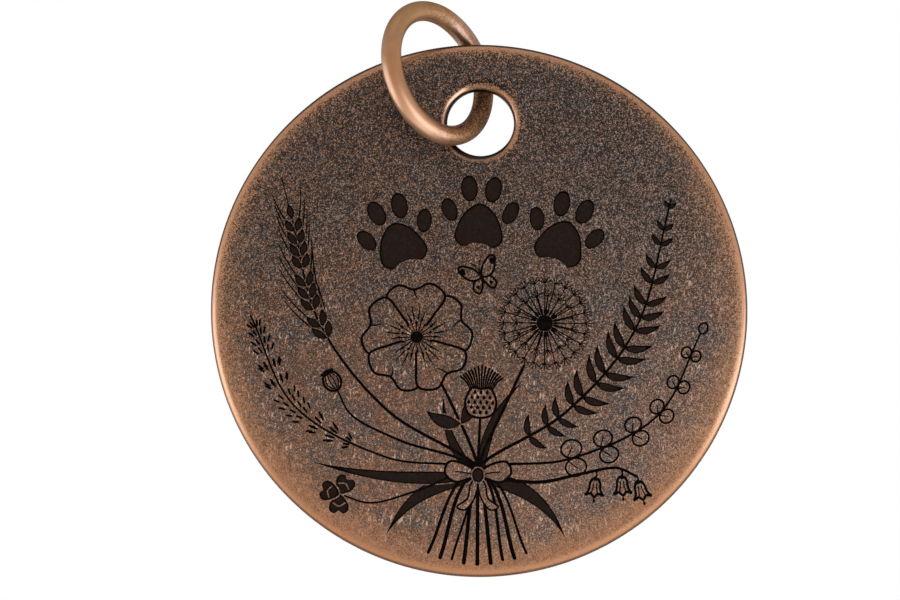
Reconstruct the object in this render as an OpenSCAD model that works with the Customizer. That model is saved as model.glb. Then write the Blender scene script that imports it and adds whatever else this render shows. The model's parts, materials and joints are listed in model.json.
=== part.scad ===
// Round pet tag: a tumbled metal disc with a hanging hole, on a wire jump ring.
// The origin is the middle of the jump ring's eye, where a collar ring passes.
// The disc hangs below it, its engraved face looks along -Y, and +Z is up.

/* [Tag disc] */
// Diameter of the disc
tag_d = 32; // [25:1:38]
// Thickness of the disc
tag_t = 1.2; // [1:0.1:1.5]
// Radius of the tumbled round on both edges of the rim
rim_round = 0.55; // [0.2:0.05:0.6]

/* [Hanging hole] */
// Diameter of the hole at its waist
hole_d = 4; // [3.6:0.1:5]
// Metal left between the hole and the rim
hole_margin = 2.8; // [2:0.05:3.2]
// Radius of the round on both mouths of the hole
hole_round = 0.4; // [0.2:0.05:0.5]

/* [Jump ring] */
// Diameter of the round wire
wire_d = 1.2; // [1:0.05:1.4]
// Inside diameter of the closed ring
eye_d = 6.6; // [6:0.1:9]
// Gap left where the two cut ends of the wire meet
seam_gap = 0.06; // [0.02:0.01:0.2]

/* [How the ring lies] */
// Air left between the wire and the disc where the ring leans closest
ring_play = 0.15; // [0.1:0.01:0.25]
// Turn of the ring in the plane of the disc, from upright towards the left
ring_turn = 14.5; // [0:0.5:25]

/* [Hidden] */

$fn = 96;

// How far a cutting tool runs past the face that it cuts
overrun = 0.5;
// The largest round that the edge of the disc can carry, as a share of half its thickness
round_limit_share = 0.95;
// Where the wire goes through the hole: shares of its free radius, across and up
through_shares = [-0.37, -0.15];
// Distance of the ring's middle from the line where it crosses the disc, as a share of its radius
offset_share = 0.47;
// Angle of the seam round the ring, from its right-hand side, which lies behind the disc
seam_at = -6;
// Stations round the ring at which its gap to the disc is measured
gap_stations = 240;
// The flattest and steepest leans that are tried, in degrees from the disc's face
lean_limits = [20, 90];
// Halvings of that interval
lean_halvings = 18;

half_t = tag_t / 2;
rim_r = min(rim_round, round_limit_share * half_t);
mouth_r = min(hole_round, round_limit_share * half_t);
wire_r = wire_d / 2;
// Radius of the line that the middle of the wire follows
bend_r = eye_d / 2 + wire_r;
// Angle of the arc that the seam leaves open
seam_angle = 360 * seam_gap / (2 * PI * bend_r);
// Height of the hole's middle above the disc's middle
hole_up = tag_d / 2 - hole_margin - hole_d / 2;

// The next functions work in the disc's own flat frame, with the middle of the hole as its
// origin: x to the right, y up and z out of the engraved face.

// A point turned by ring_turn in the plane of the disc
function turned(p) = [
    p.x * cos(ring_turn) - p.y * sin(ring_turn),
    p.x * sin(ring_turn) + p.y * cos(ring_turn),
    p.z
];

// Where the middle line of the wire goes through the middle of the disc
through = (hole_d / 2 - wire_r) * [through_shares.x, through_shares.y, 0];
// Distance of the ring's middle from its crossing line, and half of that line's length
crossing_off = offset_share * bend_r;
crossing_half = sqrt(bend_r * bend_r - crossing_off * crossing_off);

// A point of the ring's plane at x and y from its middle, when the ring leans at an angle
function on_ring(x, y, lean) = through + turned([
    (x - crossing_off) * cos(lean),
    y + crossing_half,
    (crossing_off - x) * sin(lean)
]);

// Distance from a point to a plate with a rounded edge, where out is how far
// the point lies past the start of the round and r is the round's radius
function edge_gap(out, z, r) =
    let (up = abs(z) - (half_t - r))
    norm([max(out, 0), max(up, 0)]) + min(max(out, up), 0) - r;

// Distance from a point to the drilled disc
function disc_gap(p) = max(
    edge_gap(norm([p.x, p.y + hole_up]) - (tag_d / 2 - rim_r), p.z, rim_r),
    edge_gap(hole_d / 2 + mouth_r - norm([p.x, p.y]), p.z, mouth_r)
);

// The smallest gap between the wire and the disc at one lean
function wire_gap(lean) = min([
    for (i = [0 : gap_stations - 1])
        let (a = 360 * i / gap_stations)
        disc_gap(on_ring(bend_r * cos(a), bend_r * sin(a), lean))
]) - wire_r;

// The flattest lean that leaves ring_play, found by halving the interval
function flattest(low, high, left) = left == 0 ? high :
    let (middle = (low + high) / 2)
    wire_gap(middle) < ring_play ? flattest(middle, high, left - 1) : flattest(low, middle, left - 1);

ring_lean = flattest(lean_limits.x, lean_limits.y, lean_halvings);
eye = on_ring(0, 0, ring_lean);
echo(lean = ring_lean, gap = wire_gap(ring_lean), eye = eye, hole_up = hole_up,
    axis = turned([sin(ring_lean), 0, cos(ring_lean)]));

// Stands the disc's flat frame up, with the ring's eye at the origin
module hung() {
    rotate([90, 0, 0]) translate(-eye) children();
}

// Half of the section of the blank, from its middle to its rounded rim
module blank_section() {
    translate([0, -half_t]) square([tag_d / 2 - rim_r, tag_t]);
    translate([0, rim_r - half_t]) square([tag_d / 2, tag_t - 2 * rim_r]);
    for (side = [-1, 1])
        translate([tag_d / 2 - rim_r, side * (half_t - rim_r)]) circle(r = rim_r);
}

// One mouth of the hole, widened from the waist by a round, for the upper face
module mouth_section() {
    difference() {
        translate([0, half_t - mouth_r]) square([hole_d / 2 + mouth_r, mouth_r + overrun]);
        translate([hole_d / 2 + mouth_r, half_t - mouth_r]) circle(r = mouth_r);
    }
}

// The tool that leaves the hole: its waist and its two mouths
module hole_tool() {
    cylinder(d = hole_d, h = tag_t + 2 * overrun, center = true);
    for (side = [0, 1])
        mirror([0, 0, side]) rotate_extrude() mouth_section();
}

module tag_disc() {
    color("#5a463b")
        hung()
            difference() {
                translate([0, -hole_up, 0]) rotate_extrude() blank_section();
                hole_tool();
            }
}

// Round wire bent to a circle, with its cut ends a seam apart
module jump_ring() {
    color("#a9784f")
        hung()
            translate(eye)
                rotate([0, 0, ring_turn])
                    rotate([0, ring_lean, 0])
                        rotate([0, 0, seam_at + seam_angle / 2])
                            rotate_extrude(angle = 360 - seam_angle)
                                translate([bend_r, 0]) circle(d = wire_d);
}

jump_ring();
tag_disc();
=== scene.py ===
"""Looks of a round metal pet tag on its jump ring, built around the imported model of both."""

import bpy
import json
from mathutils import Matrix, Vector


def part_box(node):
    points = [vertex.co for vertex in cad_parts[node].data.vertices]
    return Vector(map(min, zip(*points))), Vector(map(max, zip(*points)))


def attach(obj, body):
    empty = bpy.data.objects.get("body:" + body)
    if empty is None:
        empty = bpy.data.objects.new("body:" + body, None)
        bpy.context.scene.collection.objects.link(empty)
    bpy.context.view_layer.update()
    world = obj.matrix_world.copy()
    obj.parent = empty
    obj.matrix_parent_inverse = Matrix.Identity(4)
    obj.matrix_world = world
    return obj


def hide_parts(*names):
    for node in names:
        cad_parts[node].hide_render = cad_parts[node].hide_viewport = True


bl_info = {
    "name": "Engraved Pet Tag",
    "version": (1, 0, 0),
    "blender": (4, 5, 0),
    "location": "3D View > Sidebar > Pet Tag",
    "description": "Builds an engraved antique copper pet tag, its jump ring and a plain studio",
    "category": "Add Mesh",
}

import json
import math

import bmesh
import bpy
import numpy as np
from bpy.props import FloatProperty, FloatVectorProperty, IntProperty, PointerProperty
from mathutils import Quaternion, Vector
from mathutils.geometry import delaunay_2d_cdt

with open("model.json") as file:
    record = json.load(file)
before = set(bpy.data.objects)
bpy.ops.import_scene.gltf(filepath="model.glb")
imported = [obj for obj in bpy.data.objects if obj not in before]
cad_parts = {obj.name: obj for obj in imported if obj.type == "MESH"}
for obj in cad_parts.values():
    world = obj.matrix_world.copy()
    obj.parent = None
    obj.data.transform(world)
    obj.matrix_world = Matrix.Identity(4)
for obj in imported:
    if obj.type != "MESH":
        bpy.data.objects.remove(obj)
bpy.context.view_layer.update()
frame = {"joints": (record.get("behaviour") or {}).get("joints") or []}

MM = 0.001
DISC_LOW, DISC_HIGH = (np.array(corner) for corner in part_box("tag_disc"))
DISC_MIDDLE = (DISC_LOW + DISC_HIGH) / 2
DISC_RADIUS = (DISC_HIGH[0] - DISC_LOW[0]) / 2
DISC_THICKNESS = DISC_HIGH[1] - DISC_LOW[1]
SWING = frame["joints"][0]
RING_MIDDLE = np.array(SWING["pos_m"])
RING_AXIS = np.array(SWING["axis"]) / np.linalg.norm(SWING["axis"])


def length(name, description, default, low=0.0, high=1.0):
    """A size whose default is given in millimetres, and which is kept in metres."""
    return FloatProperty(name=name, description=description, default=default * MM, min=low, max=high,
                         precision=5, unit="LENGTH", subtype="DISTANCE")


def angle(name, description, default):
    """An angle that a user sets in degrees and that is kept in radians."""
    return FloatProperty(name=name, description=description, default=math.radians(default),
                         unit="ROTATION", subtype="ANGLE")


def colour(name, description, red, green, blue):
    """A colour given as it looks on a screen, from 0 to 255, and kept as linear light."""
    screen = np.array((red, green, blue)) / 255
    linear = np.where(screen > 0.04045, ((screen + 0.055) / 1.055) ** 2.4, screen / 12.92)
    return FloatVectorProperty(name=name, description=description, default=tuple(linear),
                               size=3, min=0, max=1, subtype="COLOR")


class DiscSettings(bpy.types.PropertyGroup):
    """Sizes of the disc that its packed box doesn't give."""

    rim_round: length("Rim round", "Tumbled round of the rim", 0.55)
    hole_diameter: length("Hole", "Width of the hole at its waist", 4.0)
    hole_margin: length("Hole margin", "Metal between the hole and the rim", 2.8)
    hole_round: length("Hole round", "Round of the hole's mouths", 0.4)
    depth: length("Depth", "Depth of the engraving", 0.09)
    border: length("Border", "Bare edge outside the engraving", 0.08)
    rim_steps: IntProperty(name="Rim steps", description="Sides of the rim", default=256, min=32)
    hole_steps: IntProperty(name="Hole steps", description="Sides of the hole", default=112, min=24)


class RingSettings(bpy.types.PropertyGroup):
    """Sizes of the jump ring."""

    wire: length("Wire", "Diameter of the round wire", 1.2)
    eye: length("Eye", "Inside diameter of the closed ring", 6.6)
    seam: length("Seam", "Gap between the two cut ends of the wire", 0.06)
    end_round: length("End round", "Round on the edge of each cut end", 0.07)
    seam_angle: angle("Seam angle", "Place of the seam, behind the disc", -6)


class FinishSettings(bpy.types.PropertyGroup):
    """Colours of the plating and its patina."""

    # Bright copper is also painted on the wire's lower outside as light from below
    bright: colour("Bright copper", "Plating rubbed bare", 180, 126, 87)
    tan: colour("Tan grains", "Lightest grains of the face", 172, 143, 124)
    rust: colour("Rusty copper", "Warm blotches in the patina", 140, 86, 54)
    # Warm low on the face and brown high on it: the step between them is partly painted light
    warm: colour("Warm copper", "Thin patina, low on the face", 100, 71, 54)
    brown: colour("Brown patina", "Thick patina, high on the face", 44, 33, 27)
    # Dark is also painted as shade inside the hole's mouth and as a dark outline on the rim
    dark: colour("Dark patina", "The darkest grains of the face", 24, 16, 11)
    slate: colour("Slate patina", "Cool patches in the thick patina", 37, 36, 36)
    ash: colour("Ash patina", "Cool patches in the thin patina", 73, 63, 57)
    burnt: colour("Burnt metal", "Thin cuts and the edges of broad ones", 4, 1, 0)
    char: colour("Charred metal", "Middle of the broad cuts", 34, 21, 13)
    pale: colour("Pale scuffs", "Short scuffs, low on the face", 190, 156, 132)
    wire_copper: colour("Wire copper", "Plating of the jump ring", 156, 103, 64)
    wire_olive: colour("Clouded wire", "Bloom on the upper outside", 152, 116, 80)
    # Wire brown is also painted as shade where the wire passes through the hole
    wire_brown: colour("Wire brown", "Patina left on the jump ring", 62, 41, 28)
    edge: colour("Edge tint", "What the wire mirrors at a glance", 52, 44, 37)
    rub: length("Rub", "Reach of the rub from the rim", 2.6)
    lip_rub: length("Lip rub", "Reach of the rub past the hole's round", 0.03)


class StageSettings(bpy.types.PropertyGroup):
    """Camera, floor and lamps."""

    elevation: angle("Elevation", "Height of the camera above the horizon", -7.6)
    roll: angle("Roll", "Turn about the line of sight", 0.5)
    distance: length("Distance", "From the camera to the tag", 250, high=5)
    sideways: length("Sideways", "Camera's target from the disc's middle, along X", -1.745, -1)
    upwards: length("Upwards", "Camera's target from the disc's middle, along Z", 0.516, -1)
    lens: FloatProperty(name="Lens", description="Focal length", default=167.6, min=1, unit="CAMERA")
    floor_drop: length("Floor drop", "From the disc down to the floor", 450)
    lamp_power: FloatProperty(name="Lamp power", description="Unit of the lamps' powers, in watts",
                              default=1.0, min=0, unit="POWER")
    lamp_tint: FloatVectorProperty(name="Lamp tint", description="Slightly cool light of the lamps",
                                   default=(0.7, 0.96, 1.32), size=3, min=0, max=2, subtype="COLOR")


class TagSettings(bpy.types.PropertyGroup):
    """All settings of the tag."""

    disc: PointerProperty(type=DiscSettings)
    ring: PointerProperty(type=RingSettings)
    finish: PointerProperty(type=FinishSettings)
    stage: PointerProperty(type=StageSettings)


# Curves and outlines in the plane of the disc, in millimetres from its middle

# Widths of the drawn lines, and of the dark edge of a broad cut
FINE, LINE, STEM, EDGE = 0.11, 0.15, 0.24, 0.07

# What an outline does to the face within it
STANDS, CUT, BROAD = 0, 1, 2

# How far past its reach the engraver lets a point be, in how many straight cuts it trims an
# outline, and the smallest doubled area that it draws
SLACK, TRIMS, SPECK = 0.005, 6, 1e-5


def point(x, y):
    return np.array((x, y), float)


def heading(degrees):
    """Unit vector that points a number of degrees anticlockwise from +x, for one angle or many."""
    turn = np.radians(degrees)
    return np.stack((np.cos(turn), np.sin(turn)), -1)


def turned(points, degrees):
    """Points turned anticlockwise about the origin."""
    across, up = heading(degrees), heading(degrees + 90)
    return points[..., :1] * across + points[..., 1:] * up


def placed(middle, degrees=0, size=1, side=1):
    """A function that mirrors a shape if its side is -1, sizes it, turns it and moves it."""
    return lambda shape: middle + turned(np.asarray(shape, float) * (side, 1) * size, degrees)


def both_sides(middle, degrees, size):
    """Two functions that place a shape: mirrored, and as it is."""
    return [placed(middle, degrees, size, side) for side in (-1, 1)]


def smooth(points, count, closed=False):
    """A curve through points. Between two of them it is the cubic whose slope at each is half the
    step from the neighbour before to the neighbour after."""
    p = np.asarray(points, float)
    if closed:
        p = np.vstack((p[-1:], p, p[:2]))
        t = np.linspace(0, len(p) - 3, count, endpoint=False)
    else:
        p = np.vstack((2 * p[0] - p[1], p, 2 * p[-1] - p[-2]))
        t = np.linspace(0, len(p) - 3, count)
    i = np.minimum(t.astype(int), len(p) - 4)
    f = (t - i)[:, None]
    a, b, c, d = p[i], p[i + 1], p[i + 2], p[i + 3]
    return b + f * (c - a + f * (2 * a - 5 * b + 4 * c - d + f * (3 * b - 3 * c + d - a))) / 2


def symmetric(half, count):
    """A smooth closed outline, from the points of its right half in order."""
    half = np.array(half, float)
    back = half[::-1] * (-1, 1)
    return smooth(np.vstack((half, back[back[:, 0] < 0])), count, True)


def slopes(path, closed=False):
    """Unit tangents of a path, from the step between the two neighbours of each point."""
    if closed:
        step = np.roll(path, -1, 0) - np.roll(path, 1, 0)
    else:
        step = np.gradient(path, axis=0)
    return step / np.linalg.norm(step, axis=1)[:, None]


def station(path, at):
    """A path's point at a share of its length, the unit tangent there and its angle in degrees."""
    i = int(at * (len(path) - 1))
    tangent = slopes(path)[i]
    return path[i], tangent, math.degrees(math.atan2(*tangent[::-1]))


def on_tip(path, size, turn=0):
    """A function that places a shape, drawn upwards from its origin, on the end of a path."""
    end, _, ahead = station(path, 1)
    return placed(end, ahead - 90 + turn, size)


def left_of(vectors):
    """Vectors turned a quarter to the left."""
    return np.stack((-vectors[..., 1], vectors[..., 0]), -1)


def circle(radius, count=28, middle=(0, 0)):
    """Points round a circle."""
    t = np.linspace(0, 2 * np.pi, count, endpoint=False)
    return np.stack((np.cos(t), np.sin(t)), -1) * radius + np.asarray(middle)


def ellipse(middle, across, up, degrees=0, count=28):
    """Outline whose points are the middle plus across cos t and up sin t, turned."""
    return middle + turned(circle((across, up), count), degrees)


def rib(base, tip, bend=0, count=22):
    """Line from base to tip, pushed to its left by bend times its length times 4t(1 - t)."""
    t = np.linspace(0, 1, count)[:, None]
    return base + t * (tip - base) + left_of(tip - base) * bend * 4 * t * (1 - t)


def leaf(base, tip, width, bend=0, belly=0.42, inset=0):
    """Outline of a leaf: a bent rib with a half-width of width / 2 times the sine of pi s, less the
    inset, on each side, where s is t raised so that the widest place lies at the share belly of the
    length."""
    middle = rib(base, tip, bend)
    t = np.linspace(0, 1, len(middle))
    half = width / 2 * np.sin(np.pi * t ** (math.log(0.5) / math.log(belly))) - inset
    side = left_of(slopes(middle)) * half[:, None]
    if inset:
        middle, side = middle[half > inset / 2], side[half > inset / 2]
    return np.vstack(((middle + side)[:-1], (middle - side)[:0:-1]))


def shrunk(outline, share):
    """An outline drawn in towards its middle, to a share of its size."""
    return (outline - outline.mean(0)) * share + outline.mean(0)


class Engraver:
    """Outlines in drawing order. The last one drawn over a spot says whether it is cut or stands."""

    def __init__(self, reach):
        self.reach = reach
        self.outlines, self.cuts = [], []

    def fill(self, outline, cuts=CUT):
        """A closed outline, kept anticlockwise. One that runs past the engraver's reach is cut off
        there by straight edges."""
        for _ in range(TRIMS):
            far = np.linalg.norm(outline, axis=1)
            if not len(far) or far.max() < self.reach + SLACK:
                break
            past = outline @ outline[far.argmax()] / far.max() - self.reach
            kept = []
            for i, j in zip(range(-1, len(past) - 1), range(len(past))):
                if (past[i] <= 0) != (past[j] <= 0):
                    kept.append(outline[i] + (outline[j] - outline[i]) * past[i] / (past[i] - past[j]))
                if past[j] <= 0:
                    kept.append(outline[j])
            outline = np.array(kept).reshape(-1, 2)
        x, y = outline.T
        doubled_area = np.sum(x * np.roll(y, -1) - y * np.roll(x, -1))
        if abs(doubled_area) > SPECK:
            self.outlines.append(outline if doubled_area > 0 else outline[::-1])
            self.cuts.append(cuts)

    def stroke(self, path, width, cuts=CUT, closed=False):
        """A line of a width, or of widths along it, as a chain of four-sided pieces with round ends.
        The corners of a piece go round its middle in order, so that none folds over itself."""
        half = np.broadcast_to(np.asarray(width, float) / 2, len(path))[:, None]
        side = left_of(slopes(path, closed)) * half
        right, left = path - side, path + side
        corners = np.stack((np.roll(right, 1, 0), right, left, np.roll(left, 1, 0)), 1)
        away = corners - corners.mean(1, keepdims=True)
        order = np.argsort(np.arctan2(away[..., 1], away[..., 0]), 1)
        for i in range(0 if closed else 1, len(path)):
            self.fill(corners[i, order[i]], cuts)
        if not closed:
            for end in (0, -1):
                self.fill(circle(half[end, 0], 10, path[end]), cuts)

    def outlined(self, outline, width=LINE):
        """An outline with a bare inside."""
        self.fill(outline, STANDS)
        self.stroke(outline, width, closed=True)

    def parted(self, outline, gap=0.07):
        """A filled outline with a bare line round it, which parts it from what lies below."""
        self.stroke(outline, 2 * gap, STANDS, closed=True)
        self.fill(outline)

    def broad(self, outline, share):
        """A filled outline whose middle, drawn in to a share of its size, is burnt less."""
        self.fill(outline)
        self.fill(shrunk(outline, share), BROAD)

    def blade(self, base, tip, width, bend=0, belly=0.42, gap=0):
        """A filled leaf whose middle is burnt less, with a bare line of the gap's width round it."""
        self.parted(leaf(base, tip, width, bend, belly), gap)
        middle = leaf(base, tip, width, bend, belly, EDGE)
        if len(middle) > 5:
            self.fill(middle, BROAD)


def stalk(pen, points, thick=STEM, thin=LINE):
    """A stem through points that tapers from thick to thin. Returns its path."""
    path = smooth(points, 14 * len(points))
    pen.stroke(path, np.linspace(thick, thin, len(path)))
    return path


def leaf_pair(pen, path, at, size, width, spread):
    """Two filled leaves that leave a path at a share of its length."""
    foot, _, ahead = station(path, at)
    for side in (-1, 1):
        pen.blade(foot, foot + heading(ahead + side * spread) * size, width, side * 0.1, gap=0.07)


def fern(pen, points, pairs, reach, bare):
    """A frond: a tapering stem, bare for a share of its length, whose leaflets shorten towards its
    tip and lean forward more."""
    path = stalk(pen, points, STEM, FINE)
    for along in np.linspace(0, 0.98, pairs):
        foot, _, ahead = station(path, bare + (1 - bare) * along)
        size = reach * math.sin(math.pi * min(0.92, 1.03 - along)) ** 0.5 * (1.1 - 0.75 * along) + 0.25
        for side in (-1, 1):
            tip = foot + heading(ahead + side * (62 - 20 * along)) * size
            pen.blade(foot, tip, 0.2 + 0.17 * size, side * 0.1, 0.36)


def barley(pen, points, grains, ear):
    """An ear of barley on a stalk: pairs of grains in its last stretch, each with a long beard."""
    path = stalk(pen, points, STEM, FINE)
    for k, at in enumerate(np.linspace(1 - ear, 0.985, grains)):
        foot, _, ahead = station(path, at)
        for side in (-1, 1):
            grain_tip = foot + heading(ahead + side * 27) * (1.15 - 0.25 * k / grains)
            beard_tip = grain_tip + heading(ahead + side * 15) * (2.3 - 0.7 * k / grains)
            pen.stroke(rib(grain_tip, beard_tip, side * 0.03, 8), np.linspace(0.1, 0.06, 8))
            pen.blade(foot, grain_tip, 0.46, side * 0.08, 0.48, 0.05)
    end, tangent, _ = station(path, 1)
    top = end + tangent
    pen.stroke(rib(top, top + tangent * 1.6, 0, 6), 0.07)
    pen.blade(end, top, 0.42, 0, 0.48, 0.05)


def foxtail(pen, points, ear, width, rows=17):
    """A soft grass head: rows of short slanting dashes that fill a spindle at the stalk's end."""
    path = stalk(pen, points, LINE, FINE)
    for k in range(rows):
        foot, tangent, ahead = station(path, 1 - ear * (1 - k / rows))
        spread = width / 2 * math.sin(math.pi * (0.12 + 0.83 * k / rows)) ** 0.7
        for lane in (-1, -0.45, 0.45, 1):
            base = foot + left_of(tangent) * lane * spread + tangent * 0.2 * (k % 2)
            pen.stroke(rib(base, base + heading(ahead + 34 * lane) * 0.3, 0, 4), 0.13)


def dandelion(pen, points, radius):
    """A seed clock: two rings of parachutes, each a seed, a thread and a fan of hairs."""
    middle = stalk(pen, points)[-1]
    pen.fill(circle(radius * 0.98, 28, middle), STANDS)
    for count, reach, offset in ((15, 0.56, 12), (24, 0.84, 0)):
        for k in range(count):
            ahead = offset + 360 * k / count
            out = heading(ahead) * radius
            crown = middle + out * reach
            pen.stroke(rib(middle + out * 0.3, crown, 0, 5), 0.07)
            for fan in (-62, -31, 0, 31, 62):
                pen.stroke(rib(crown, crown + heading(ahead + fan) * 0.15 * radius, 0, 3), 0.06)
            pen.fill(leaf(middle + out * 0.16, middle + out * 0.36, 0.13))
    pen.fill(circle(0.17 * radius, 28, middle))


def bell(pen, at, size, degrees):
    """A hanging flower: a bell that flares to three points, with two folds and a pistil."""
    half = ((0, 0), (0.2, -0.06), (0.33, -0.3), (0.36, -0.62), (0.46, -0.9), (0.6, -1.08),
            (0.4, -1.02), (0.24, -0.96), (0.12, -1.1), (0, -1.2))
    place = placed(at, degrees, size)
    pen.stroke(place(rib(point(0, -0.9), point(0, -1.42), 0, 4)), 0.09)
    pen.fill(place(ellipse(point(0, -1.46), 0.09, 0.12, 0, 12)))
    pen.outlined(place(symmetric(half, 60)))
    for beside in both_sides(at, degrees, size):
        pen.stroke(beside(smooth(((0.1, -0.3), (0.13, -0.6), (0.2, -0.92)), 10)), 0.08)
        pen.fill(beside(leaf(point(0, 0.1), point(0.36, -0.34), 0.2, 0.12)))
    pen.fill(place(ellipse(point(0, 0.02), 0.14, 0.16, 0, 14)))


def bellflower(pen, points, hangers, size):
    """A stalk that nods over, with bells that hang from its last stretch."""
    path = stalk(pen, points)
    for at, drop, degrees in hangers:
        foot = station(path, at)[0]
        top = foot + heading(degrees - 90) * drop
        pen.stroke(rib(foot, top, 0.12, 8), FINE)
        bell(pen, top, size, degrees)


def rose(pen, middle, size, degrees):
    """A wild rose seen from above: five notched petals, each over the one before, and stamens."""
    petal = smooth(((0.1, 0), (0.5, 0.4), (0.82, 0.58), (1.04, 0.34), (0.95, 0.02), (1.06, -0.3),
                    (0.82, -0.58), (0.5, -0.4)), 64, True)
    for k in range(5):
        place = placed(middle, degrees + 72 * k, size)
        pen.outlined(place(petal))
        for vein in (-17, -6, 6, 17):
            line = rib(heading(vein) * 0.36, heading(vein * 1.15) * (0.7 - abs(vein) / 90), vein / 300, 8)
            pen.stroke(place(line), np.linspace(0.11, 0.05, 8))
        fold = smooth(((0.93, 0.03), (0.83, 0), (0.76, -0.05)), 8)
        pen.stroke(place(fold), np.linspace(0.12, 0.06, 8))
    pen.fill(circle(0.3 * size, 28, middle), STANDS)
    for k in range(20):
        out = heading(degrees + 18 * k) * size
        tip = middle + out * (0.29 + 0.06 * (k % 2))
        pen.stroke(rib(middle + out * 0.12, tip, 0, 4), 0.07)
        pen.fill(circle(0.09, 10, tip))
    pen.fill(circle(0.12 * size, 28, middle))


def thistle(pen, points, size):
    """A globe of scales under a brush of hairs, on a stalk."""
    place = on_tip(stalk(pen, points), size)
    for fan in np.linspace(-46, 46, 15):
        root = point(fan / 105, 1.1)
        tip = root + heading(90 - fan * 0.8) * (0.98 - abs(fan) / 130)
        pen.stroke(place(rib(root, tip, fan / 500, 8)), np.linspace(0.08, 0.13, 8))
    globe = ((0, 0), (0.46, 0.14), (0.62, 0.6), (0.47, 1.05), (0.3, 1.2), (0, 1.16))
    pen.outlined(place(symmetric(globe, 48)))
    for row in range(5):
        level = 0.22 + 0.2 * row
        reach = math.sqrt(max(0, 0.36 - (level - 0.6) ** 2)) * 0.92
        for column in np.arange(-2, 3) * 0.24 + 0.12 * (row % 2):
            if abs(column) < reach:
                pen.fill(place(leaf(point(column, level - 0.09), point(column, level + 0.1), 0.13)))


def poppy_pod(pen, points, size):
    """A ripe seed box: a ribbed urn with a flat crown, on a thin stalk."""
    place = on_tip(stalk(pen, points, STEM * 0.8, FINE), size)
    urn = ((0, 0), (0.3, 0.1), (0.52, 0.5), (0.44, 0.92), (0.3, 1.08), (0, 1.1))
    pen.outlined(place(symmetric(urn, 44)))
    for bend in (-0.26, -0.09, 0.09, 0.26):
        pen.stroke(place(rib(point(bend * 0.5, 0.14), point(bend * 0.9, 0.98), -bend * 0.8, 10)), 0.08)
    pen.fill(place(leaf(point(-0.52, 1.16), point(0.52, 1.16), 0.26, 0.06, 0.5)))
    for spot in (-0.36, -0.18, 0, 0.18, 0.36):
        pen.fill(place(ellipse(point(spot, 1.27 - abs(spot) * 0.16), 0.075, 0.1, 0, 12)))


def coin_sprig(pen, points, pairs, size, bare):
    """A twig, bare for a share of its length, with pairs of round leaves that shrink towards its tip."""
    path = stalk(pen, points, STEM * 0.8, FINE)
    for k in range(pairs):
        foot, _, ahead = station(path, bare + (0.93 - bare) * k / (pairs - 1))
        radius = size * (1 - 0.55 * k / pairs)
        for side in (-1, 1):
            out = heading(ahead + side * 52) * radius
            pen.outlined(ellipse(foot + out * 1.15, radius, radius * 0.86, ahead, 24), 0.12)
            pen.stroke(rib(foot, foot + out * 1.3, 0, 5), 0.08)
    end, tangent, _ = station(path, 1)
    pen.outlined(ellipse(end + tangent * 0.3, 0.34, 0.26, ahead, 20), 0.12)


def clover(pen, points, size):
    """A stalk with three heart-shaped leaflets, each with a bare chevron."""
    path = stalk(pen, points, LINE, FINE)
    heart = symmetric(((0, 0), (0.42, 0.4), (0.5, 0.8), (0.24, 1), (0, 0.86)), 40)
    for turn in (-104, 104, 0):
        place = on_tip(path, size, turn)
        pen.parted(place(heart))
        pen.fill(place(shrunk(heart, 0.84)), BROAD)
        pen.stroke(place(smooth(((-0.3, 0.46), (0, 0.62), (0.3, 0.46)), 12)), 0.08, STANDS)


def paw(pen, middle, size, degrees):
    """A paw print: a pad of three lobes under four toes."""
    pad = ((0, 0.12), (0.17, 0.02), (0.27, -0.16), (0.3, -0.33), (0.2, -0.43), (0.07, -0.385))
    pen.broad(placed(middle, degrees, size)(symmetric(pad, 66)), 0.93)
    for x, y, across, up, lean in ((0.38, 0.02, 0.095, 0.15, -24), (0.15, 0.3, 0.105, 0.165, -8)):
        for place in both_sides(middle, degrees, size):
            pen.broad(place(ellipse(point(x, y), across, up, lean, 30)), 0.86)


def butterfly(pen, middle, size, degrees):
    """Four outlined wings, the upper ones with a dark tip, a body and two feelers."""
    lower = ((0.05, -0.1), (0.5, -0.2), (0.72, -0.62), (0.45, -0.95), (0.15, -0.6))
    upper = ((0.05, 0), (0.3, 0.55), (0.9, 0.95), (1.15, 0.75), (0.85, 0.1), (0.4, -0.15))
    for place in both_sides(middle, degrees, size):
        for wing in (lower, upper):
            pen.outlined(place(smooth(wing, 44, True)), 0.13)
        pen.fill(place(smooth(((0.85, 0.82), (1.1, 0.72), (0.98, 0.42), (0.8, 0.5)), 24, True)))
        pen.fill(place(ellipse(point(0.42, -0.58), 0.1, 0.13, 0, 14)))
        pen.stroke(place(smooth(((0, 0.3), (0.14, 0.7), (0.32, 0.95)), 10)), 0.07)
    pen.fill(placed(middle, degrees, size)(leaf(point(0, -0.62), point(0, 0.42), 0.2, 0, 0.6)))


def bow(pen, middle, size):
    """A ribbon tied in a bow: two tails, two loops with a fold each, and a knot."""
    tail = ((0, 0), (0.3, -0.4), (0.42, -0.95), (0.85, -1.3), (0.5, -1.42), (0.16, -1), (0.02, -0.5))
    loop = ((0, 0), (0.5, 0.42), (1.15, 0.55), (1.35, 0.1), (0.95, -0.28), (0.4, -0.16))
    for place in both_sides(middle, 0, size):
        pen.outlined(place(smooth(tail, 40, True)), FINE)
    for place in both_sides(middle, 0, size):
        pen.outlined(place(smooth(loop, 44, True)))
        pen.stroke(place(smooth(((0.25, 0.03), (0.55, 0.1), (0.9, 0.13)), 10)), 0.08)
    pen.parted(ellipse(middle, 0.24 * size, 0.3 * size))
    pen.fill(ellipse(middle, 0.18 * size, 0.24 * size), BROAD)


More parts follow.
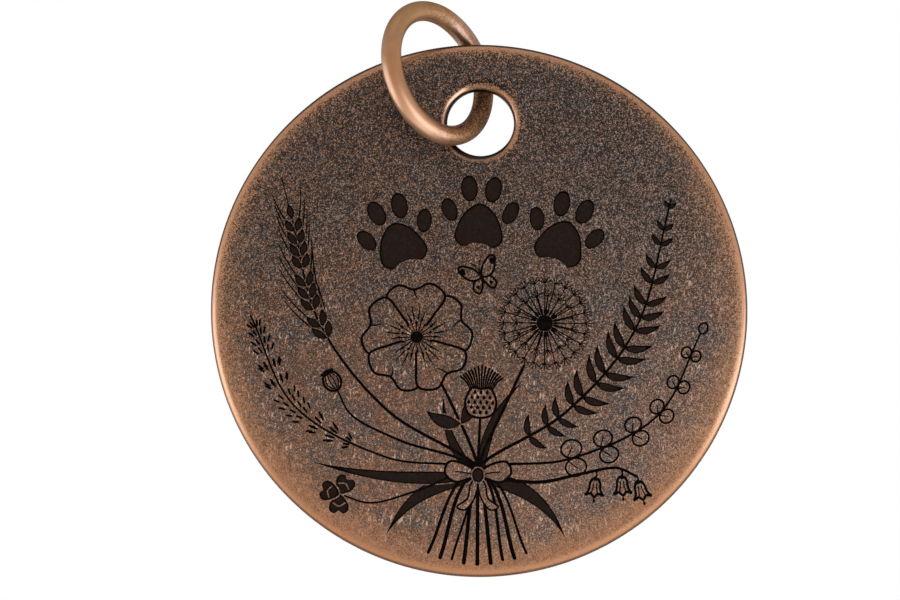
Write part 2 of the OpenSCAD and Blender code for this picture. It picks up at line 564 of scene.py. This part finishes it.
def engraved_art(reach):
    """The whole engraving: three paw prints over a bunch of meadow flowers, tied with a bow."""
    pen = Engraver(reach)
    for x, y, degrees in ((-5, 4.5, 20), (0, 5.7, -3), (5.1, 4.7, -19)):
        paw(pen, point(x, y), 4.8, degrees)
    butterfly(pen, point(0.1, 1.9), 1, 22)
    for foot, tip, width, bend in (
            ((-0.3, -10.2), (-5.4, -13.6), 0.9, -0.14), ((0.3, -10.2), (5.2, -13.7), 0.9, 0.14),
            ((-0.2, -10), (-9.8, -9.3), 0.75, 0.05), ((0.2, -10), (2.6, -4.4), 0.6, 0.1),
            ((-0.2, -10), (-2.1, -5.2), 0.6, 0.1)):
        pen.blade(point(*foot), point(*tip), width, bend, 0.3, 0.06)
    foxtail(pen, ((2.9, -14.6), (0.55, -9.9), (-5.4, -9), (-10.9, -6), (-13.6, -0.6)), 0.4, 1.15)
    coin_sprig(pen, ((-2.9, -14.6), (-0.55, -9.9), (5.4, -9), (10.6, -6.4), (13.2, -1.4)), 6, 0.62, 0.5)
    barley(pen, ((2.2, -14.9), (0.4, -9.9), (-5.4, -6.2), (-9.5, -1), (-11.2, 5.2)), 9, 0.28)
    fern(pen, ((-2.2, -14.9), (-0.4, -9.9), (5.2, -6.2), (9.4, -1), (11.4, 6.6)), 17, 2, 0.42)
    poppy_pod(pen, ((1.5, -15), (0.25, -9.9), (-4.6, -8), (-7.4, -6.6), (-8.4, -5)), 1)
    clover(pen, ((-1.5, -15), (-0.25, -9.9), (-3.4, -10.9), (-6.2, -11.7), (-8.2, -11.2)), 1.15)
    bellflower(pen, ((-0.2, -10), (3.4, -10.4), (6, -9.9), (8.1, -9.5), (9.4, -10)),
               ((0.62, 0.5, -4), (0.82, 0.5, 4), (1, 0.35, 16)), 0.9)
    rose_stem = stalk(pen, ((0.8, -15.2), (0.1, -9.9), (-1.4, -6.2), (-3.7, -1.8)))
    leaf_pair(pen, rose_stem, 0.6, 2.2, 0.8, 44)
    rose(pen, rose_stem[-1], 3, 20)
    dandelion(pen, ((-0.8, -15.2), (-0.1, -9.9), (1.7, -5.6), (3.9, -0.9)), 2.85)
    thistle(pen, ((0, -15.3), (0, -9.9), (0.1, -6.6)), 1.5)
    bow(pen, point(0, -10), 1.45)
    return pen


# Surfaces of the frame


def faced(rim, hole, pen=None, limit=None, depth=0):
    """A flat face between two circles, sunk by depth where the engraver cuts. It is triangulated
    with every outline as a border. Returns points as (across, up, down into the metal), triangles
    and, for each triangle, what the engraver does to it."""
    outlines = [rim, limit, *pen.outlines, hole] if pen else [rim, hole]
    cuts = [STANDS, STANDS, *pen.cuts, STANDS] if pen else [STANDS, STANDS]
    ends = np.cumsum([len(outline) for outline in outlines]).tolist()
    faces = [list(range(start, end)) for start, end in zip([0] + ends, ends)]
    flat = [Vector(p) for p in np.vstack(outlines)]
    points, _, made, _, _, owners = delaunay_2d_cdt(flat, [], faces, 1, 1e-6, True)
    points = np.array([tuple(p) for p in points])
    last = len(faces) - 1
    kept = [k for k, owner in enumerate(owners) if owner and 0 in owner and last not in owner]
    triangles = np.array([made[k] for k in kept])
    level = np.array([cuts[max(owners[k])] if 1 in owners[k] else STANDS for k in kept])
    cut = level > STANDS
    n = len(points)
    while True:
        ends = np.stack((triangles, np.roll(triangles, -1, 1)), -1).reshape(-1, 2)
        of_cut = np.repeat(cut, 3)
        keys, back = ends[:, 0] * n + ends[:, 1], ends[:, 1] * n + ends[:, 0]
        border = of_cut & np.isin(back, keys[~of_cut])
        # Where cuts meet in one point only, the triangles that stand there are cut as well
        meets = np.bincount(ends[border].ravel(), minlength=n)
        pinched = (meets > 2)[triangles].any(1) & ~cut
        if not pinched.any():
            break
        cut = cut | pinched
    walls = ends[border]
    levels = np.vstack((np.c_[points, np.zeros(n)], np.c_[points, np.full(n, depth)]))
    quads = np.stack((walls[:, 1] + n, walls[:, 0] + n, walls[:, 0], walls[:, 1]), 1)
    split = np.vstack((quads[:, [0, 1, 2]], quads[:, [0, 2, 3]]))
    everything = np.vstack((triangles + n * cut[:, None], split))
    return levels, everything, np.r_[np.maximum(level, cut), np.full(len(split), CUT)]


def grid_faces(rows, count):
    """Four-sided faces between rows of points, each of which closes on itself."""
    row, i = np.meshgrid(np.arange(rows - 1), np.arange(count), indexing="ij")
    j = (i + 1) % count
    corners = (row * count + i, row * count + j, (row + 1) * count + j, (row + 1) * count + i)
    return np.stack([corner.ravel() for corner in corners], 1)


def revolved(profile, count, middle=(0, 0)):
    """A profile of (radius, down into the metal) turned about the normal of the disc. Returns what
    faced does, with four-sided faces."""
    rings = [np.c_[circle(radius, count, middle), np.full(count, down)] for radius, down in profile]
    faces = grid_faces(len(profile), count)
    return np.vstack(rings), faces, np.full(len(faces), STANDS)


def rounded_edge(radius, bulge, thickness, steps=10):
    """Half section of an edge: a quarter round from the front face, a straight land and a quarter
    round to the back face. bulge is the round's radius, negative where the round opens a hole."""
    t = np.linspace(0, np.pi / 2, steps + 1)
    front = np.stack((radius - bulge + bulge * np.sin(t), abs(bulge) * (1 - np.cos(t))), 1)
    back = (front * (1, -1) + (0, thickness))[::-1]
    return np.vstack((front, back))


def add_object(name, data):
    """An object in the scene for a mesh, a lamp or a camera."""
    made = bpy.data.objects.new(name, data)
    bpy.context.collection.objects.link(made)
    return made


def mesh_object(name, points, faces, smooth_faces, slots, materials):
    """A mesh from lists of faces, welded, with its faces outwards and its place in its points."""
    mesh = bpy.data.meshes.new(name)
    mesh.from_pydata(points, [], faces)
    for material in materials:
        mesh.materials.append(material)
    mesh.polygons.foreach_set("use_smooth", smooth_faces)
    mesh.polygons.foreach_set("material_index", slots)
    weld = bmesh.new()
    weld.from_mesh(mesh)
    bmesh.ops.delete(weld, geom=[v for v in weld.verts if not v.link_faces], context="VERTS")
    bmesh.ops.remove_doubles(weld, verts=weld.verts, dist=1e-8)
    bmesh.ops.recalc_face_normals(weld, faces=weld.faces)
    open_edges = sum(len(edge.link_faces) != 2 for edge in weld.edges)
    weld.to_mesh(mesh)
    weld.free()
    if open_edges:
        raise RuntimeError(f"{name} has {open_edges} edges that don't join two faces")
    return add_object(name, mesh)


def disc_sizes(disc):
    """Radius of the disc and of the round of its rim, then the same and the height of the hole, in
    millimetres."""
    hole_up = DISC_RADIUS - disc.hole_margin - disc.hole_diameter / 2
    sizes = (DISC_RADIUS, disc.rim_round, disc.hole_diameter / 2, disc.hole_round, hole_up)
    return [size / MM for size in sizes]


def build_disc(tag):
    """The drilled and tumbled disc, with the engraving sunk into the face that looks along -Y."""
    disc = tag.disc
    radius, rim_round, hole_radius, hole_round, hole_up = disc_sizes(disc)
    thickness, border, hole_middle = DISC_THICKNESS / MM, disc.border / MM, (0, hole_up)
    rim = circle(radius - rim_round, disc.rim_steps)
    limit = circle(radius - rim_round - border, disc.rim_steps)
    mouth = circle(hole_radius + hole_round, disc.hole_steps, hole_middle)
    pen = engraved_art(radius - rim_round - border / 2)
    front = faced(rim, mouth, pen, limit, disc.depth / MM)
    back = faced(rim, mouth)
    back[0][:, 2] = thickness
    edge = revolved(rounded_edge(radius, rim_round, thickness), disc.rim_steps)
    bore = revolved(rounded_edge(hole_radius, -hole_round, thickness), disc.hole_steps, hole_middle)
    points, faces, slots = zip(front, back, edge, bore)
    starts = np.cumsum([0] + [len(made) for made in points])
    across, up, down = (np.vstack(points) * MM).T
    place = np.stack((DISC_MIDDLE[0] + across, DISC_LOW[1] + down, DISC_MIDDLE[2] + up), 1)
    rounded = np.repeat((False, False, True, True), [len(made) for made in faces]).tolist()
    faces = [face for made, start in zip(faces, starts) for face in (made + start).tolist()]
    materials = (antique_copper(tag), burnt_copper("burnt_edge", tag.finish.burnt, tag.finish.dark),
                 burnt_copper("burnt_floor", tag.finish.char, tag.finish.brown))
    return mesh_object("copper_disc", place, faces, rounded, np.concatenate(slots).tolist(), materials)


def build_ring(tag, steps=220, sides=56):
    """The wire ring: a circle of the wire's radius carried round the ring's own circle, drawn in
    to a small round at each cut end and closed there by a flat."""
    ring = tag.ring
    wire, bend = ring.wire / 2, (ring.eye + ring.wire) / 2
    up = np.cross(RING_AXIS, (0, 1, 0))
    up /= np.linalg.norm(up)
    across = np.cross(up, RING_AXIS)
    gap = ring.seam / bend
    small = ring.end_round * (1 - np.cos(np.linspace(0, np.pi / 2, 7)))
    whole = (2 * np.pi - gap) * bend
    between = np.linspace(ring.end_round, whole - ring.end_round, steps)[1:-1]
    along = np.r_[small, between, (whole - small)[::-1]]
    from_end = np.minimum(np.minimum(along, whole - along), ring.end_round)
    radius = wire - ring.end_round + np.sqrt(ring.end_round**2 - (ring.end_round - from_end) ** 2)
    turn = ring.seam_angle + gap / 2 + along / bend
    out = np.outer(np.cos(turn), across) + np.outer(np.sin(turn), up)
    x, y = circle(1, sides).T
    tube = (RING_MIDDLE + out[:, None] * (bend + radius[:, None] * x)[..., None]
            + RING_AXIS * (radius[:, None] * y)[..., None])
    caps = RING_MIDDLE + out[[0, -1]] * bend
    n = len(along)
    faces = grid_faces(n, sides).tolist()
    rounded = [True] * len(faces) + [False] * (2 * sides)
    s = np.arange(sides)
    for first, centre in ((0, n * sides), ((n - 1) * sides, n * sides + 1)):
        faces += np.stack((first + s, first + (s + 1) % sides, np.full(sides, centre)), 1).tolist()
    points = np.vstack((tube.reshape(-1, 3), caps))
    return mesh_object("copper_ring", points, faces, rounded, [0] * len(faces), (wire_finish(tag),))


# Materials. Patterns are measured in millimetres from a point of the frame


def give(socket, value):
    """Links a field or another node's output to a socket, or sets a plain value on it."""
    value = getattr(value, "socket", value)
    if isinstance(value, bpy.types.NodeSocket):
        socket.id_data.links.new(value, socket)
    else:
        socket.default_value = value


def put(tree, kind, inputs=(), **settings):
    """Adds a node. inputs is a dictionary of socket to what it is given."""
    node = tree.nodes.new("ShaderNode" + kind)
    for key, value in settings.items():
        setattr(node, key, value)
    for key, value in dict(inputs).items():
        give(node.inputs[key], value)
    return node


class Field:
    """A number that changes over the surface: a node's output, worked on by the usual signs."""

    def __init__(self, socket):
        self.socket = socket
        self.tree = socket.id_data

    def maths(self, operation, other=0):
        """The field and a number or another field through a Math node."""
        return Field(put(self.tree, "Math", {0: self, 1: other}, operation=operation).outputs[0])

    def __add__(self, other):
        return self.maths("ADD", other)

    def __sub__(self, other):
        return self.maths("SUBTRACT", other)

    def __mul__(self, other):
        return self.maths("MULTIPLY", other)

    def greater(self, other):
        """Whichever is more, at each place."""
        return self.maths("MAXIMUM", other)

    def band(self, low, high, start=0, stop=1):
        """A smooth step of the field from low to high, as start to stop."""
        limits = {"Value": self, "From Min": low, "From Max": high, "To Min": start, "To Max": stop}
        return Field(put(self.tree, "MapRange", limits, interpolation_type="SMOOTHSTEP").outputs["Result"])

    def between(self, start, stop):
        """A smooth step of a mask, as start where the mask is nought and stop where it is one."""
        return self.band(0, 1, start, stop)


def blend(mask, first, second):
    """Mixes two colours by a mask."""
    first, second = (tint if isinstance(tint, bpy.types.NodeSocket) else opaque(tint)
                     for tint in (first, second))
    return put(mask.tree, "Mix", {0: mask, 6: first, 7: second}, data_type="RGBA").outputs[2]


def layered(base, layers):
    """A colour under layers of (mask, colour), from the lowest to the highest."""
    for mask, tint in layers:
        base = blend(mask, base, tint)
    return base


def opaque(rgb):
    return (*rgb, 1)


def noise(vector, scale, detail=2, roughness=0.5, distortion=0):
    """Soft noise of a number of lumps to the millimetre."""
    inputs = {"Vector": vector, "Scale": scale, "Detail": detail, "Roughness": roughness,
              "Distortion": distortion}
    return Field(put(vector.id_data, "TexNoise", inputs).outputs["Fac"])


def vector_maths(operation, first, second=(0, 0, 0)):
    """The outputs of a Vector Math node for a vector and another one."""
    return put(first.id_data, "VectorMath", {0: first, 1: tuple(second)}, operation=operation).outputs


def distance(vector, place=(0, 0, 0)):
    """How far a vector's end is from a place."""
    return Field(vector_maths("DISTANCE", vector, place)["Value"])


def millimetres(tree, middle):
    """Object coordinates in millimetres from a point of the frame."""
    away = vector_maths("SUBTRACT", put(tree, "TexCoord").outputs["Object"], middle)[0]
    return put(tree, "Mapping", {"Vector": away, "Scale": (1 / MM,) * 3}).outputs[0]


def split_xz(vector):
    """The X and the Z of a vector."""
    parts = put(vector.id_data, "SeparateXYZ", {0: vector}).outputs
    return Field(parts["X"]), Field(parts["Z"])


def bump(height, strength, rise):
    """A normal that follows a height, which stands for a rise in millimetres where it is one."""
    inputs = {"Strength": strength, "Distance": rise * MM, "Height": height}
    return put(height.tree, "Bump", inputs).outputs[0]


def speckle_group():
    """Grain of tumbled plating: fine and coarse noise mixed, as a value about one half that runs
    past nought and one, short bright scuffs that run near one direction, and the mix as a height."""
    name = "tumbled_speckle"
    if name in bpy.data.node_groups:
        return bpy.data.node_groups[name]
    tree = bpy.data.node_groups.new(name, "ShaderNodeTree")
    for label, kind in (("Vector", "Vector"), ("Lumps", "Float"), ("Contrast", "Float")):
        tree.interface.new_socket(label, in_out="INPUT", socket_type="NodeSocket" + kind)
    given = tree.nodes.new("NodeGroupInput").outputs
    vector, lumps, contrast = given["Vector"], Field(given["Lumps"]), Field(given["Contrast"])
    height = noise(vector, lumps, 2, 0.75) * 0.85 + noise(vector, lumps * 0.3, 2, 0.6) * 0.15
    scuffs = None
    for tilt, offset, squeeze in ((0.12, 3, 0.24), (-0.3, 11, 0.35), (0.5, 23, 0.8)):
        moved = put(tree, "Mapping", {"Vector": vector, "Location": (offset, 0, offset),
                                      "Rotation": (0, tilt, 0), "Scale": (1, 1, squeeze)}).outputs[0]
        streak = noise(moved, lumps * 0.55, 0, 0.5).band(0.73, 0.79)
        scuffs = scuffs.greater(streak) if scuffs else streak
    grain = (height - 0.5) * contrast + 0.5
    result = tree.nodes.new("NodeGroupOutput").inputs
    for label, value in (("Grain", grain), ("Scuffs", scuffs), ("Height", height)):
        tree.interface.new_socket(label, in_out="OUTPUT", socket_type="NodeSocketFloat")
        give(result[label], value)
    return tree


def speckle(vector, lumps, contrast):
    """The grain, scuffs and height of a speckle group placed in a material."""
    inputs = {"Vector": vector, "Lumps": lumps, "Contrast": contrast}
    node = put(vector.id_data, "Group", inputs, node_tree=speckle_group())
    return [Field(socket) for socket in node.outputs]


def new_material(name):
    """An empty node material, its tree and its shader."""
    material = bpy.data.materials.new(name)
    material.use_nodes = True
    tree = material.node_tree
    return material, tree, tree.nodes["Principled BSDF"]


def feed(shader, **sockets):
    """Links or sets sockets of a shader, whose names are given with underscores."""
    for key, value in sockets.items():
        give(shader.inputs[key.replace("_", " ")], value)


def antique_copper(tag):
    """Copper plate under a mottled dark patina, rubbed bare on the rim and round the hole. The face is
    lighter towards the bottom and the right, partly as thinner patina and partly as painted light, with
    painted shade in the hole and round the rim's outer edge."""
    finish = tag.finish
    material, tree, shader = new_material("antique_copper")
    radius, rim_round, hole_radius, hole_round, hole_up = disc_sizes(tag.disc)
    whole = millimetres(tree, DISC_MIDDLE)
    x, z = split_xz(whole)
    above_hole = z - hole_up
    flat = vector_maths("MULTIPLY", whole, (1, 0, 1))[0]
    from_middle, from_hole = distance(flat), distance(flat, (0, 0, hole_up))
    patches, cloud = noise(whole, 0.42, 3, 0.6, 0.3), noise(whole, 1.3, 3, 0.6)
    blotch = noise(whole, 2.4, 3, 0.75)
    # How far down and right a place is: the face lightens there, partly as thinner patina and partly as
    # painted light
    low = (z.band(12, -15) + x.band(8, 15, 0, 0.2)).maths("MINIMUM", 1)
    right = x.band(-6, 12)
    grain, scuffs, height = speckle(whole, 16, 10)
    uneven = (grain - 0.5) * low.band(0.1, 0.8, 1, 0.62)
    grain = uneven + 0.5

    # Where the plating is rubbed bare: a narrow rim with a halo, a glow that reaches in from it, and the
    # lip of the hole, whose brow at the top is browner and duller. Rim and halo are dimmed towards the top
    # as painted shade, and the glow reaches further in at the bottom and the right, partly as painted
    # light.
    wander = from_middle + (cloud - 0.5) * 2 + uneven * 0.35
    glow = wander.band(radius - finish.rub / MM, radius + 0.3)
    glow = glow * z.band(13, -13, 0.05, 0.82).greater(x.band(9, 15, 0, 0.5))
    # Distance from the middle, stretched at the top so that the rim and its painted dark outline reach
    # further in there
    edge_reach = from_middle + z.band(8, 14, 0, 0.06)
    rim = (edge_reach + uneven * 0.1).band(radius - rim_round * 1.15, radius - 0.31)
    halo = (from_middle + uneven * 0.3).band(radius - 1, radius - 0.42) * z.band(14, 4, 0.42, 0.78)
    rim = rim.greater(halo) * z.band(15.5, 6, 0.8, 1)
    lip_end = hole_radius + hole_round + finish.lip_rub / MM
    lip_reach = from_hole - uneven * 0.06 + above_hole.band(-0.7, -1.9, 0.02, -0.1)
    lip = lip_reach.band(lip_end, hole_radius + hole_round * 0.75) * above_hole.band(-0.8, -2.3, 0.95, 0.45)
    brow = above_hole.band(1.75, 2.1) * x.band(-1.3, -0.6) * from_hole.band(lip_end + 0.5, lip_end + 0.1)
    lip = lip * brow.between(1, 0.55)
    worn = rim.greater(lip).greater(glow)

    # The patina, lighter towards the bottom and the right, partly as thinner patina and partly as painted
    # light
    cool = patches + (blotch - 0.5) * 0.5
    base = blend(cool.band(0.44, 0.62), blend(low, finish.brown, finish.warm),
                 blend(low, finish.slate, finish.ash))
    rusty = blotch.band(0.52, 0.66) * low.between(0.25, 0.75) * x.band(-6, 12, 1, 0.85)
    dark_grain = grain.band(0.55, -0.3) * low.between(0.8, 0.5)
    shown = grain - low.between(0.28, 0) + right * low * 0.16
    light_grain = shown.band(0.56, 1.5) * 0.85
    hue = noise(whole, 6, 2, 0.7) - right.between(-0.03, 0.09)
    fleck = blend(hue.band(0.45, 0.62), finish.tan, finish.bright)
    scuffed = scuffs * low.band(0, 0.7, 0.15, 0.8) * cloud.band(0.42, 0.56)

    # What lies over it: bare metal, rosy at the bottom, and painted shade as dark lines in the hole and
    # round the rim
    held = grain.band(0.8, -0.6) * (worn * -1 + 1.2)
    bare = worn * (held * -1 + 0.97)
    rosy = worn * z.band(-4, -13, 0, 0.4)
    # Painted shade inside the mouth of the hole, widest at the bottom and on the left, narrowest at the top
    waist_shade_reach = (x.band(1.6, -1.6, 0.1, 0.24) * above_hole.band(2, 0.8, 0.45, 1)
                   + above_hole.band(-0.9, -1.9, 0, 0.14))
    waist = (from_hole - waist_shade_reach).band(hole_radius, hole_radius - 0.08) * 0.95
    # Painted shade: a dark outline on the outermost rim, heavier at the top
    outer = edge_reach.band(radius - 0.16, radius - 0.07) * z.band(12, -12, 0.9, 0.6)
    base = layered(base, (
        (rusty, finish.rust), (dark_grain, finish.dark), (light_grain, fleck), (scuffed, finish.pale),
        (bare, finish.bright), (rosy, finish.rust), (waist, finish.dark), (outer, finish.dark)))

    rough = worn * z.band(-11, -4, 0.12, -0.16) + 0.58 - lip * 0.12 - light_grain * 0.12 + brow * 0.2
    covered = (outer + waist).maths("MINIMUM", 1)
    polish = (rim.greater(lip) * covered.between(1, 0) * z.band(-10, 2, -0.5, 1)
              * brow.between(1, 0))
    feed(shader, Base_Color=base, Metallic=1, Roughness=rough, Normal=bump(height, 0.35, 0.02),
         Specular_Tint=opaque(finish.brown), Coat_Weight=polish * 0.42 + brow.between(0.25, 0),
         Coat_Roughness=0.25)
    return material


def burnt_copper(name, ground, fleck):
    """Metal that the engraver burnt: matt, one colour with grains of another."""
    material, tree, shader = new_material(name)
    grain, _, height = speckle(millimetres(tree, DISC_MIDDLE), 7, 5)
    feed(shader, Base_Color=blend(grain.band(0.2, 1.2), ground, fleck), Metallic=0.6,
         Roughness=grain * 0.15 + 0.7, Normal=bump(height, 0.4, 0.01), Specular_IOR_Level=0.06)
    return material


def wire_finish(tag):
    """Satin copper wire with an olive bloom on its upper outside. It is tarnished on its right and most of
    all inside the bend, and painted darker as shade where it passes through the hole, with contrasty grain
    on its tarnished right and on the crown. A stretch of the right leg is wiped clean, and the lower
    outside is painted brighter as light from below."""
    finish, ring = tag.finish, tag.ring
    material, tree, shader = new_material("worn_copper")
    whole = millimetres(tree, RING_MIDDLE)
    x, z = split_xz(whole)
    away, along = distance(whole), Field(vector_maths("DOT_PRODUCT", whole, RING_AXIS)["Value"])
    out = (away * away - along * along).maths("SQRT")
    bend = (ring.eye + ring.wire) / 2 / MM
    bloom = noise(whole, 0.7, 3, 0.6, 0.4)
    grain, scuffs, height = speckle(whole, 13, 7)

    clean = x.band(0.5, 1.3) * z.band(0.6, 1.6)
    crown = x.band(-1.3, -0.3, 0, 0.6) * z.band(2.4, 3.2)
    rough_side = ((bloom - 0.5) * 4 + x).band(-0.8, 1.6) * clean.between(1, 0.45)
    rough_side = rough_side.greater(crown)
    # Inside the bend, and also on the outer side where the wire passes through the hole, which is painted
    # shade; it is heaviest low down, in the hole
    inside = out.band(bend + 0.2, bend - 0.5, 0.15, 1).greater(x.band(1.3, 2.6, 0, 0.95))
    tarnish_and_shade = rough_side * inside * z.band(1.5, -0.5, 0.5, 1)
    clouded = out.band(bend - 0.5, bend + 0.5, 0.3, 0.85) * z.band(0.3, 2.6) * clean.between(1, 0.3)
    # Painted light: the lower outside lightened with bright copper as if lit from below
    lit_side = (out.band(bend - 0.1, bend + 0.5) * z.band(-0.5, -2.5, 0, 0.85)
                * rough_side.between(1, 0.2))
    spots = grain.band(0.48, -0.1) * (rough_side * 0.85 + 0.04)
    flecks = grain.band(0.55, 1.3) * (rough_side * 0.9 + 0.04)
    base = blend(bloom.band(0.42, 0.75, 0, 0.25), finish.wire_copper, finish.wire_brown)
    base = layered(base, (
        (clouded, finish.wire_olive), (lit_side, finish.bright), (tarnish_and_shade * 0.8, finish.wire_brown),
        (spots, finish.wire_brown), (flecks, finish.bright), (scuffs * 0.15, finish.bright)))

    rough = (bloom.band(0.3, 0.8, 0.36, 0.46) + tarnish_and_shade * 0.1 + z.band(2.6, 3.8, 0, 0.16)
             - clean * 0.14)
    coat = z.band(2.6, 1, 0.1, 0.68) * rough_side.between(1, 0.2)
    feed(shader, Base_Color=base, Metallic=0.75, Roughness=rough, Normal=bump(height, 0.12, 0.01),
         Specular_Tint=opaque(finish.edge), Specular_IOR_Level=0.12,
         Coat_Weight=coat.greater(clean * 0.95), Coat_Roughness=0.3)
    return material


# Stage


def background_rays(tree):
    """One for rays that come from the camera, a mirror or glass, which see a plain white room."""
    rays = put(tree, "LightPath").outputs
    seen = Field(rays["Is Camera Ray"]).greater(rays["Is Glossy Ray"])
    return seen.greater(rays["Is Transmission Ray"])


def build_world():
    """White for what sees the background, and a softer light for the rest."""
    world = bpy.data.worlds.new("white_room")
    world.use_nodes = True
    tree = world.node_tree
    feed(tree.nodes["Background"], Strength=background_rays(tree).between(0.7, 1), Color=(1, 1, 1, 1))
    bpy.context.scene.world = world


def build_floor(tag, size=1.2):
    """A pale floor, see-through from below, that fades out with distance."""
    level = DISC_LOW[2] - tag.stage.floor_drop
    mesh = bpy.data.meshes.new("floor")
    corners = [(x * size, y * size, level) for x, y in ((-1, -1), (1, -1), (1, 1), (-1, 1))]
    mesh.from_pydata(corners, [], [(0, 1, 2, 3)])
    material, tree, shader = new_material("pale_floor")
    feed(shader, Base_Color=(0.85, 0.85, 0.85, 1), Roughness=0.9)
    lift = put(tree, "Emission", {"Color": (1, 1, 1, 1), "Strength": background_rays(tree) * 0.3})
    lit = put(tree, "AddShader", {0: shader.outputs[0], 1: lift.outputs[0]})
    under = Field(put(tree, "NewGeometry").outputs["Backfacing"])
    reach = distance(vector_maths("MULTIPLY", millimetres(tree, DISC_MIDDLE), (1, 1, 0))[0])
    hidden = under.greater(reach.band(0.15 * size / MM, 0.95 * size / MM))
    clear = put(tree, "BsdfTransparent")
    sided = put(tree, "MixShader", {0: hidden, 1: lit.outputs[0], 2: clear.outputs[0]})
    give(tree.nodes["Material Output"].inputs["Surface"], sided.outputs[0])
    mesh.materials.append(material)
    return add_object("floor", mesh)


def aim(made, place, ahead, roll=0):
    """Puts a lamp or a camera at a place, looking ahead with its Y up, then rolled."""
    made.location = place
    made.rotation_mode = "QUATERNION"
    made.rotation_quaternion = ahead.to_track_quat("-Z", "Y") @ Quaternion((0, 0, 1), roll)


def build_lamp(name, place, width, height, power, tint):
    """A soft oblong lamp that faces the middle of the disc, with its long side up or across."""
    lamp = bpy.data.lights.new(name, "AREA")
    lamp.shape, lamp.size, lamp.size_y, lamp.energy = "RECTANGLE", width, height, power
    lamp.color = tint
    aim(add_object(name, lamp), place, Vector(DISC_MIDDLE) - Vector(place))


def build_camera(stage):
    """The photograph's view: a long lens, a little below the middle of the disc."""
    data = bpy.data.cameras.new("camera")
    data.lens, data.sensor_width = stage.lens, 36
    data.clip_start, data.clip_end = 0.01, 10
    made = add_object("camera", data)
    target = Vector(DISC_MIDDLE) + Vector((stage.sideways, 0, stage.upwards))
    back = Vector((0, -math.cos(stage.elevation), math.sin(stage.elevation)))
    aim(made, target + back * stage.distance, -back, stage.roll)
    bpy.context.scene.camera = made


class PETTAG_OT_disc(bpy.types.Operator):
    """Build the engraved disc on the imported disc"""

    bl_idname = "pettag.disc"
    bl_label = "Engraved disc"

    def execute(self, context):
        made = build_disc(context.scene.pet_tag)
        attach(made, "disc")
        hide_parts("tag_disc")
        return {"FINISHED"}


class PETTAG_OT_ring(bpy.types.Operator):
    """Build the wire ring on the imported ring"""

    bl_idname = "pettag.ring"
    bl_label = "Jump ring"

    def execute(self, context):
        made = build_ring(context.scene.pet_tag)
        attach(made, "ring")
        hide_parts("jump_ring")
        return {"FINISHED"}


class PETTAG_OT_stage(bpy.types.Operator):
    """Build the floor, the lamps, the world and the camera"""

    bl_idname = "pettag.stage"
    bl_label = "Stage"

    def execute(self, context):
        tag = context.scene.pet_tag
        context.scene.view_settings.view_transform = "Standard"
        build_world()
        build_floor(tag)
        for name, place, width, height, power in (
                ("left_lamp", (-0.47, 0.03, -0.12), 0.72, 0.44, 3.2),
                ("right_lamp", (0.48, -0.01, -0.12), 0.2, 0.38, 1.05),
                ("low_lamp", (0.33, -0.29, -0.22), 0.46, 0.42, 2.1),
                ("under_lamp", (0.07, -0.1, -0.42), 0.34, 0.24, 0.4),
                ("top_lamp", (0, -0.1, 0.45), 0.3, 0.2, 0.1)):
            build_lamp(name, DISC_MIDDLE + place, width, height, tag.stage.lamp_power * power,
                       tag.stage.lamp_tint)
        build_camera(tag.stage)
        return {"FINISHED"}


class PETTAG_PT_panel(bpy.types.Panel):
    """Settings and builders of the tag"""

    bl_label = "Pet Tag"
    bl_idname = "PETTAG_PT_panel"
    bl_space_type = "VIEW_3D"
    bl_region_type = "UI"
    bl_category = "Pet Tag"

    def draw(self, context):
        tag = context.scene.pet_tag
        for title, settings, operator in (
                ("Disc", tag.disc, PETTAG_OT_disc), ("Ring", tag.ring, PETTAG_OT_ring),
                ("Finish", tag.finish, None), ("Stage", tag.stage, PETTAG_OT_stage)):
            column = self.layout.box().column()
            column.label(text=title)
            for key in settings.__annotations__:
                column.prop(settings, key)
            if operator:
                column.operator(operator.bl_idname)


CLASSES = (DiscSettings, RingSettings, FinishSettings, StageSettings, TagSettings,
           PETTAG_OT_disc, PETTAG_OT_ring, PETTAG_OT_stage, PETTAG_PT_panel)


def register():
    for cls in CLASSES:
        bpy.utils.register_class(cls)
    bpy.types.Scene.pet_tag = PointerProperty(type=TagSettings)


def unregister():
    del bpy.types.Scene.pet_tag
    for cls in reversed(CLASSES):
        bpy.utils.unregister_class(cls)


def main():
    register()
    bpy.ops.pettag.disc()
    bpy.ops.pettag.ring()
    bpy.ops.pettag.stage()


if __name__ == "__main__":
    main()
